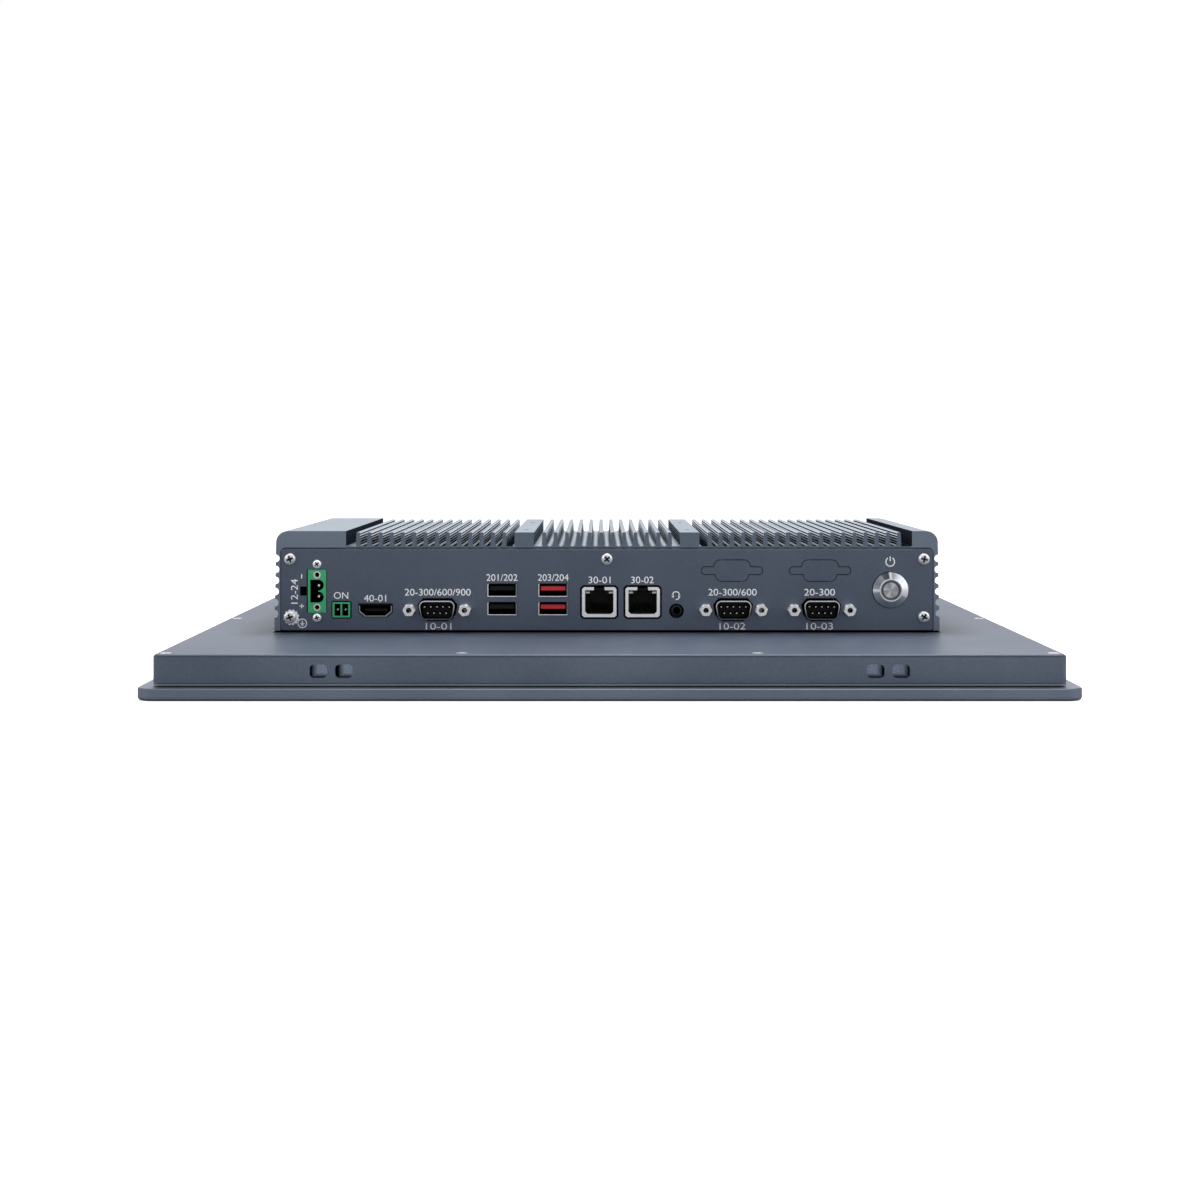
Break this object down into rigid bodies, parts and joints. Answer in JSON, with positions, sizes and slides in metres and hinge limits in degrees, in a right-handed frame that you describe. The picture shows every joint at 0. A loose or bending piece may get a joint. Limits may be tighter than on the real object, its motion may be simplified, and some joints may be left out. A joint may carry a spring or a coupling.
{
  "type": "fanless industrial panel computer",
  "caption": "Fanless panel computer lying on its display face, with a finned metal cover and a row of connectors along one side.",
  "frame": {"origin": "middle of the display face, on the plane that the panel lies on", "axes": "+X along the connector side to the right, +Y away from the connector side, +Z out of the back of the panel"},
  "size_m": [0.382, 0.309, 0.0638],
  "materials": {
    "front_bezel": "fine blasted and dark anodised",
    "touch_glass": "glossy dark touch glass",
    "glass_tape": "black adhesive foam tape",
    "lcd_module": "module with a tin-plated back",
    "lcd_clips": "zinc plated",
    "display_frame": "grey painted sheet",
    "bezel_gasket": "black closed-cell foam",
    "frame_screws": "zinc plated",
    "cover_posts": "zinc plated",
    "rear_cover": "fine textured powder coat, dark blue grey",
    "rear_cover_screws": "black zinc",
    "heatsink_cover": "extruded, blasted and dark anodised",
    "base_plate": "zinc plated sheet",
    "base_plate_screws": "zinc plated",
    "box_mounting_screws": "zinc plated",
    "io_plate": "dark anodised, fine brushed",
    "io_plate_screws": "nickel plated",
    "ground_screw": "nickel plated",
    "ground_washer": "bright zinc plated",
    "rear_end_plate": "dark anodised, fine brushed",
    "rear_end_plate_screws": "nickel plated",
    "supply_inlet_housing": "green moulded plastic",
    "supply_inlet_pins": "tin plated",
    "supply_inlet_nuts": "plain brass",
    "supply_inlet_bracket": "zinc plated",
    "supply_inlet_screws": "nickel plated",
    "switch_terminal_housing": "green moulded plastic",
    "switch_terminal_pins": "tin plated",
    "video_port_shell": "nickel plated",
    "video_port_tongue": "black moulded plastic",
    "serial_hex_standoffs": "nickel plated",
    "black_data_port_shell": "nickel plated",
    "black_data_port_tongues": "black moulded plastic",
    "red_data_port_shell": "nickel plated",
    "red_data_port_tongues": "red moulded plastic",
    "network_port_contacts": "gold plated",
    "network_port_lights": "milky light windows",
    "audio_jack": "black moulded plastic, polished",
    "power_button_body": "satin dark nickel",
    "power_button_ring": "smoked plastic light ring",
    "power_button_cap": "satin dark nickel",
    "power_button_nut": "nickel plated",
    "mainboard": "green solder mask",
    "board_screws": "zinc plated",
    "heat_spreader": "milled aluminium",
    "memory_module": "green board with black chips",
    "storage_module": "blue board with black chips",
    "serial_port_1_shell": "nickel plated",
    "serial_port_1_insulator": "black moulded plastic",
    "serial_port_1_pins": "gold plated",
    "serial_port_2_shell": "nickel plated",
    "serial_port_2_insulator": "black moulded plastic",
    "serial_port_2_pins": "gold plated",
    "serial_port_3_shell": "nickel plated",
    "serial_port_3_insulator": "black moulded plastic",
    "serial_port_3_pins": "gold plated",
    "network_port_1_shield": "tin plated",
    "network_port_1_insert": "black moulded plastic",
    "network_port_2_shield": "tin plated",
    "network_port_2_insert": "black moulded plastic"
  },
  "bodies": {
    "chassis": {"front_bezel": "front_bezel", "touch_glass": "touch_glass", "glass_tape": "glass_tape", "lcd_module": "lcd_module", "lcd_clips": "lcd_clips", "display_frame": "display_frame", "bezel_gasket": "bezel_gasket", "frame_screws": "frame_screws", "cover_posts": "cover_posts", "rear_cover": "rear_cover", "rear_cover_screws": "rear_cover_screws", "heatsink_cover": "heatsink_cover", "base_plate": "base_plate", "base_plate_screws": "base_plate_screws", "box_mounting_screws": "box_mounting_screws", "io_plate": "io_plate", "io_plate_screws": "io_plate_screws", "ground_screw": "ground_screw", "ground_washer": "ground_washer", "rear_end_plate": "rear_end_plate", "rear_end_plate_screws": "rear_end_plate_screws", "supply_inlet_housing": "supply_inlet_housing", "supply_inlet_pins": "supply_inlet_pins", "supply_inlet_nuts": "supply_inlet_nuts", "supply_inlet_bracket": "supply_inlet_bracket", "supply_inlet_screws": "supply_inlet_screws", "switch_terminal_housing": "switch_terminal_housing", "switch_terminal_pins": "switch_terminal_pins", "video_port_shell": "video_port_shell", "video_port_tongue": "video_port_tongue", "serial_hex_standoffs": "serial_hex_standoffs", "black_data_port_shell": "black_data_port_shell", "black_data_port_tongues": "black_data_port_tongues", "red_data_port_shell": "red_data_port_shell", "red_data_port_tongues": "red_data_port_tongues", "network_port_contacts": "network_port_contacts", "network_port_lights": "network_port_lights", "audio_jack": "audio_jack", "power_button_body": "power_button_body", "power_button_ring": "power_button_ring", "power_button_nut": "power_button_nut", "mainboard": "mainboard", "board_screws": "board_screws", "heat_spreader": "heat_spreader", "memory_module": "memory_module", "storage_module": "storage_module", "serial_port_1_shell": "serial_port_1_shell", "serial_port_1_insulator": "serial_port_1_insulator", "serial_port_1_pins": "serial_port_1_pins", "serial_port_2_shell": "serial_port_2_shell", "serial_port_2_insulator": "serial_port_2_insulator", "serial_port_2_pins": "serial_port_2_pins", "serial_port_3_shell": "serial_port_3_shell", "serial_port_3_insulator": "serial_port_3_insulator", "serial_port_3_pins": "serial_port_3_pins", "network_port_1_shield": "network_port_1_shield", "network_port_1_insert": "network_port_1_insert", "network_port_2_shield": "network_port_2_shield", "network_port_2_insert": "network_port_2_insert"},
    "power_button": {"power_button_cap": "power_button_cap"}
  },
  "joints": [
    {"name": "power_button_press", "type": "slide", "parent": "chassis", "child": "power_button", "axis": [0, 1, 0], "range_m": [0, 0.0018], "stiffness_N_per_m": 1500, "springref_m": -0.001}
  ]
}
